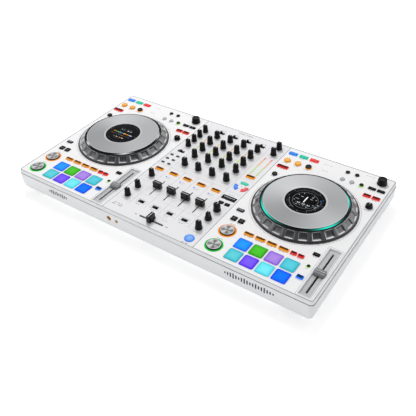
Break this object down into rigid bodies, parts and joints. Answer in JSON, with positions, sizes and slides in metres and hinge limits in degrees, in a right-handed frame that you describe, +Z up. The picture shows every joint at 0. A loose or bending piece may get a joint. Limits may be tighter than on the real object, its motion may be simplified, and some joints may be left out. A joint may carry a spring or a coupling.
{
  "type": "dj controller",
  "caption": "Two-deck, four-channel DJ controller with jog wheels, central displays, faders, knobs, keys and performance pads in a flat case.",
  "frame": {"origin": "on the ground under the middle of the overall footprint", "axes": "+X to the operator's right, +Y away from the operator, +Z up"},
  "size_m": [0.716, 0.3996, 0.0734],
  "materials": {
    "case_plastic": "fine matte texture",
    "panel_white": "smooth satin white",
    "circuit_board": "solder mask green",
    "jack_metal": "plated",
    "rubber": "matte",
    "screw_steel": "black zinc",
    "display_glass": "glossy dark lens",
    "spindle_metal": "turned",
    "jog_black": "satin black",
    "jog_silver": "satin silver",
    "tempo_grey": "satin grey",
    "knob_black": "soft matte",
    "pad_silicone": "translucent backlit silicone",
    "key_plastic": "satin translucent keys"
  },
  "bodies": {
    "chassis": {"lower_case": "case_plastic", "upper_cover": "case_plastic", "control_panels": "panel_white", "circuit_boards": "circuit_board", "jacks": "jack_metal", "rubber_feet": "rubber", "case_screws": "screw_steel", "displays": "display_glass", "jog_spindles": "spindle_metal"},
    "left_jog": {"left_jog_wheel": "jog_black", "left_jog_plate": "jog_silver"},
    "right_jog": {"right_jog_wheel": "jog_black", "right_jog_plate": "jog_silver"},
    "left_tempo_slider": {"left_tempo_slider": "tempo_grey"},
    "right_tempo_slider": {"right_tempo_slider": "tempo_grey"},
    "ch1_fader": {"ch1_fader": "knob_black"},
    "ch2_fader": {"ch2_fader": "knob_black"},
    "ch3_fader": {"ch3_fader": "knob_black"},
    "ch4_fader": {"ch4_fader": "knob_black"},
    "crossfader": {"crossfader": "knob_black"},
    "ch1_trim_knob": {"ch1_trim_knob": "knob_black"},
    "ch1_hi_knob": {"ch1_hi_knob": "knob_black"},
    "ch1_mid_knob": {"ch1_mid_knob": "knob_black"},
    "ch1_low_knob": {"ch1_low_knob": "knob_black"},
    "ch1_filter_knob": {"ch1_filter_knob": "knob_black"},
    "ch2_trim_knob": {"ch2_trim_knob": "knob_black"},
    "ch2_hi_knob": {"ch2_hi_knob": "knob_black"},
    "ch2_mid_knob": {"ch2_mid_knob": "knob_black"},
    "ch2_low_knob": {"ch2_low_knob": "knob_black"},
    "ch2_filter_knob": {"ch2_filter_knob": "knob_black"},
    "ch3_trim_knob": {"ch3_trim_knob": "knob_black"},
    "ch3_hi_knob": {"ch3_hi_knob": "knob_black"},
    "ch3_mid_knob": {"ch3_mid_knob": "knob_black"},
    "ch3_low_knob": {"ch3_low_knob": "knob_black"},
    "ch3_filter_knob": {"ch3_filter_knob": "knob_black"},
    "ch4_trim_knob": {"ch4_trim_knob": "knob_black"},
    "ch4_hi_knob": {"ch4_hi_knob": "knob_black"},
    "ch4_mid_knob": {"ch4_mid_knob": "knob_black"},
    "ch4_low_knob": {"ch4_low_knob": "knob_black"},
    "ch4_filter_knob": {"ch4_filter_knob": "knob_black"},
    "mic1_level_knob": {"mic1_level_knob": "knob_black"},
    "mic2_level_knob": {"mic2_level_knob": "knob_black"},
    "mic_hi_knob": {"mic_hi_knob": "knob_black"},
    "mic_low_knob": {"mic_low_knob": "knob_black"},
    "color_knob": {"color_knob": "knob_black"},
    "phones_mix_knob": {"phones_mix_knob": "knob_black"},
    "phones_level_knob": {"phones_level_knob": "knob_black"},
    "master_level_knob": {"master_level_knob": "knob_black"},
    "booth_level_knob": {"booth_level_knob": "knob_black"},
    "fx_select_knob": {"fx_select_knob": "knob_black"},
    "fx_channel_knob": {"fx_channel_knob": "knob_black"},
    "fx_depth_knob": {"fx_depth_knob": "knob_black"},
    "left_browse_knob": {"left_browse_knob": "knob_black"},
    "left_feel_knob": {"left_feel_knob": "knob_black"},
    "right_browse_knob": {"right_browse_knob": "knob_black"},
    "right_feel_knob": {"right_feel_knob": "knob_black"},
    "performance_pads": {"performance_pads": "pad_silicone"},
    "deck_buttons": {"deck_buttons": "key_plastic"},
    "mixer_buttons": {"mixer_buttons": "key_plastic"},
    "slide_switches": {"slide_switches": "knob_black"}
  },
  "joints": [
    {"name": "left_jog_turn", "type": "hinge", "parent": "chassis", "child": "left_jog", "pos_m": [-0.2353, 0.01435, 0.0544], "axis": [0, 0, 1], "continuous": true},
    {"name": "right_jog_turn", "type": "hinge", "parent": "chassis", "child": "right_jog", "pos_m": [0.233, 0.01435, 0.0544], "axis": [0, 0, 1], "continuous": true},
    {"name": "left_tempo_slider_travel", "type": "slide", "parent": "chassis", "child": "left_tempo_slider", "axis": [0, 1, 0], "range_m": [-0.0473, 0.0527]},
    {"name": "right_tempo_slider_travel", "type": "slide", "parent": "chassis", "child": "right_tempo_slider", "axis": [0, 1, 0], "range_m": [-0.0473, 0.0527]},
    {"name": "ch1_fader_travel", "type": "slide", "parent": "chassis", "child": "ch1_fader", "axis": [0, 1, 0], "range_m": [-0.0235, 0.0215]},
    {"name": "ch2_fader_travel", "type": "slide", "parent": "chassis", "child": "ch2_fader", "axis": [0, 1, 0], "range_m": [-0.0235, 0.0215]},
    {"name": "ch3_fader_travel", "type": "slide", "parent": "chassis", "child": "ch3_fader", "axis": [0, 1, 0], "range_m": [-0.0235, 0.0215]},
    {"name": "ch4_fader_travel", "type": "slide", "parent": "chassis", "child": "ch4_fader", "axis": [0, 1, 0], "range_m": [-0.0235, 0.0215]},
    {"name": "crossfader_travel", "type": "slide", "parent": "chassis", "child": "crossfader", "axis": [1, 0, 0], "range_m": [-0.0225, 0.0225]},
    {"name": "ch1_trim_knob_turn", "type": "hinge", "parent": "chassis", "child": "ch1_trim_knob", "pos_m": [-0.0538, 0.13535, 0.0544], "axis": [0, 0, 1], "range_deg": [-150, 150]},
    {"name": "ch1_hi_knob_turn", "type": "hinge", "parent": "chassis", "child": "ch1_hi_knob", "pos_m": [-0.0538, 0.10585, 0.0544], "axis": [0, 0, 1], "range_deg": [-150, 150]},
    {"name": "ch1_mid_knob_turn", "type": "hinge", "parent": "chassis", "child": "ch1_mid_knob", "pos_m": [-0.0538, 0.07535, 0.0544], "axis": [0, 0, 1], "range_deg": [-150, 150]},
    {"name": "ch1_low_knob_turn", "type": "hinge", "parent": "chassis", "child": "ch1_low_knob", "pos_m": [-0.0538, 0.04485, 0.0544], "axis": [0, 0, 1], "range_deg": [-150, 150]},
    {"name": "ch1_filter_knob_turn", "type": "hinge", "parent": "chassis", "child": "ch1_filter_knob", "pos_m": [-0.0544, 0.00835, 0.0544], "axis": [0, 0, 1], "range_deg": [-150, 150]},
    {"name": "ch2_trim_knob_turn", "type": "hinge", "parent": "chassis", "child": "ch2_trim_knob", "pos_m": [-0.0178, 0.13535, 0.0544], "axis": [0, 0, 1], "range_deg": [-150, 150]},
    {"name": "ch2_hi_knob_turn", "type": "hinge", "parent": "chassis", "child": "ch2_hi_knob", "pos_m": [-0.0178, 0.10585, 0.0544], "axis": [0, 0, 1], "range_deg": [-150, 150]},
    {"name": "ch2_mid_knob_turn", "type": "hinge", "parent": "chassis", "child": "ch2_mid_knob", "pos_m": [-0.0178, 0.07535, 0.0544], "axis": [0, 0, 1], "range_deg": [-150, 150]},
    {"name": "ch2_low_knob_turn", "type": "hinge", "parent": "chassis", "child": "ch2_low_knob", "pos_m": [-0.0178, 0.04485, 0.0544], "axis": [0, 0, 1], "range_deg": [-150, 150]},
    {"name": "ch2_filter_knob_turn", "type": "hinge", "parent": "chassis", "child": "ch2_filter_knob", "pos_m": [-0.0184, 0.00835, 0.0544], "axis": [0, 0, 1], "range_deg": [-150, 150]},
    {"name": "ch3_trim_knob_turn", "type": "hinge", "parent": "chassis", "child": "ch3_trim_knob", "pos_m": [0.0182, 0.13535, 0.0544], "axis": [0, 0, 1], "range_deg": [-150, 150]},
    {"name": "ch3_hi_knob_turn", "type": "hinge", "parent": "chassis", "child": "ch3_hi_knob", "pos_m": [0.0182, 0.10585, 0.0544], "axis": [0, 0, 1], "range_deg": [-150, 150]},
    {"name": "ch3_mid_knob_turn", "type": "hinge", "parent": "chassis", "child": "ch3_mid_knob", "pos_m": [0.0182, 0.07535, 0.0544], "axis": [0, 0, 1], "range_deg": [-150, 150]},
    {"name": "ch3_low_knob_turn", "type": "hinge", "parent": "chassis", "child": "ch3_low_knob", "pos_m": [0.0182, 0.04485, 0.0544], "axis": [0, 0, 1], "range_deg": [-150, 150]},
    {"name": "ch3_filter_knob_turn", "type": "hinge", "parent": "chassis", "child": "ch3_filter_knob", "pos_m": [0.0176, 0.00835, 0.0544], "axis": [0, 0, 1], "range_deg": [-150, 150]},
    {"name": "ch4_trim_knob_turn", "type": "hinge", "parent": "chassis", "child": "ch4_trim_knob", "pos_m": [0.0542, 0.13535, 0.0544], "axis": [0, 0, 1], "range_deg": [-150, 150]},
    {"name": "ch4_hi_knob_turn", "type": "hinge", "parent": "chassis", "child": "ch4_hi_knob", "pos_m": [0.0542, 0.10585, 0.0544], "axis": [0, 0, 1], "range_deg": [-150, 150]},
    {"name": "ch4_mid_knob_turn", "type": "hinge", "parent": "chassis", "child": "ch4_mid_knob", "pos_m": [0.0542, 0.07535, 0.0544], "axis": [0, 0, 1], "range_deg": [-150, 150]},
    {"name": "ch4_low_knob_turn", "type": "hinge", "parent": "chassis", "child": "ch4_low_knob", "pos_m": [0.0542, 0.04485, 0.0544], "axis": [0, 0, 1], "range_deg": [-150, 150]},
    {"name": "ch4_filter_knob_turn", "type": "hinge", "parent": "chassis", "child": "ch4_filter_knob", "pos_m": [0.0536, 0.00835, 0.0544], "axis": [0, 0, 1], "range_deg": [-150, 150]},
    {"name": "mic1_level_knob_turn", "type": "hinge", "parent": "chassis", "child": "mic1_level_knob", "pos_m": [-0.0916, 0.14235, 0.0544], "axis": [0, 0, 1], "range_deg": [-150, 150]},
    {"name": "mic2_level_knob_turn", "type": "hinge", "parent": "chassis", "child": "mic2_level_knob", "pos_m": [-0.0916, 0.11885, 0.0544], "axis": [0, 0, 1], "range_deg": [-150, 150]},
    {"name": "mic_hi_knob_turn", "type": "hinge", "parent": "chassis", "child": "mic_hi_knob", "pos_m": [-0.0916, 0.09635, 0.0544], "axis": [0, 0, 1], "range_deg": [-150, 150]},
    {"name": "mic_low_knob_turn", "type": "hinge", "parent": "chassis", "child": "mic_low_knob", "pos_m": [-0.0916, 0.07285, 0.0544], "axis": [0, 0, 1], "range_deg": [-150, 150]},
    {"name": "color_knob_turn", "type": "hinge", "parent": "chassis", "child": "color_knob", "pos_m": [-0.0916, -0.06065, 0.0544], "axis": [0, 0, 1], "range_deg": [-150, 150]},
    {"name": "phones_mix_knob_turn", "type": "hinge", "parent": "chassis", "child": "phones_mix_knob", "pos_m": [-0.0916, -0.10715, 0.0544], "axis": [0, 0, 1], "range_deg": [-150, 150]},
    {"name": "phones_level_knob_turn", "type": "hinge", "parent": "chassis", "child": "phones_level_knob", "pos_m": [-0.0916, -0.13965, 0.0544], "axis": [0, 0, 1], "range_deg": [-150, 150]},
    {"name": "master_level_knob_turn", "type": "hinge", "parent": "chassis", "child": "master_level_knob", "pos_m": [0.0916, 0.16785, 0.0544], "axis": [0, 0, 1], "range_deg": [-150, 150]},
    {"name": "booth_level_knob_turn", "type": "hinge", "parent": "chassis", "child": "booth_level_knob", "pos_m": [0.0916, 0.14185, 0.0544], "axis": [0, 0, 1], "range_deg": [-150, 150]},
    {"name": "fx_select_knob_turn", "type": "hinge", "parent": "chassis", "child": "fx_select_knob", "pos_m": [0.0916, -0.08415, 0.0544], "axis": [0, 0, 1], "range_deg": [-150, 150]},
    {"name": "fx_channel_knob_turn", "type": "hinge", "parent": "chassis", "child": "fx_channel_knob", "pos_m": [0.0916, -0.11465, 0.0544], "axis": [0, 0, 1], "range_deg": [-150, 150]},
    {"name": "fx_depth_knob_turn", "type": "hinge", "parent": "chassis", "child": "fx_depth_knob", "pos_m": [0.0916, -0.14665, 0.0544], "axis": [0, 0, 1], "range_deg": [-150, 150]},
    {"name": "left_browse_knob_turn", "type": "hinge", "parent": "chassis", "child": "left_browse_knob", "pos_m": [-0.1359, 0.16585, 0.0544], "axis": [0, 0, 1], "continuous": true},
    {"name": "left_feel_knob_turn", "type": "hinge", "parent": "chassis", "child": "left_feel_knob", "pos_m": [-0.1298, 0.08135, 0.0544], "axis": [0, 0, 1], "range_deg": [-140, 140]},
    {"name": "right_browse_knob_turn", "type": "hinge", "parent": "chassis", "child": "right_browse_knob", "pos_m": [0.3324, 0.16585, 0.0544], "axis": [0, 0, 1], "continuous": true},
    {"name": "right_feel_knob_turn", "type": "hinge", "parent": "chassis", "child": "right_feel_knob", "pos_m": [0.3385, 0.08135, 0.0544], "axis": [0, 0, 1], "range_deg": [-140, 140]},
    {"name": "performance_pads_travel", "type": "slide", "parent": "chassis", "child": "performance_pads", "axis": [0, 0, -1], "range_m": [0, 0.001], "stiffness_N_per_m": 1500, "springref_m": -0.001},
    {"name": "deck_buttons_travel", "type": "slide", "parent": "chassis", "child": "deck_buttons", "axis": [0, 0, -1], "range_m": [0, 0.0008], "stiffness_N_per_m": 2500, "springref_m": -0.001},
    {"name": "mixer_buttons_travel", "type": "slide", "parent": "chassis", "child": "mixer_buttons", "axis": [0, 0, -1], "range_m": [0, 0.0008], "stiffness_N_per_m": 1200, "springref_m": -0.001},
    {"name": "slide_switches_travel", "type": "slide", "parent": "chassis", "child": "slide_switches", "axis": [1, 0, 0], "range_m": [-0.0028, 0.0028]}
  ]
}
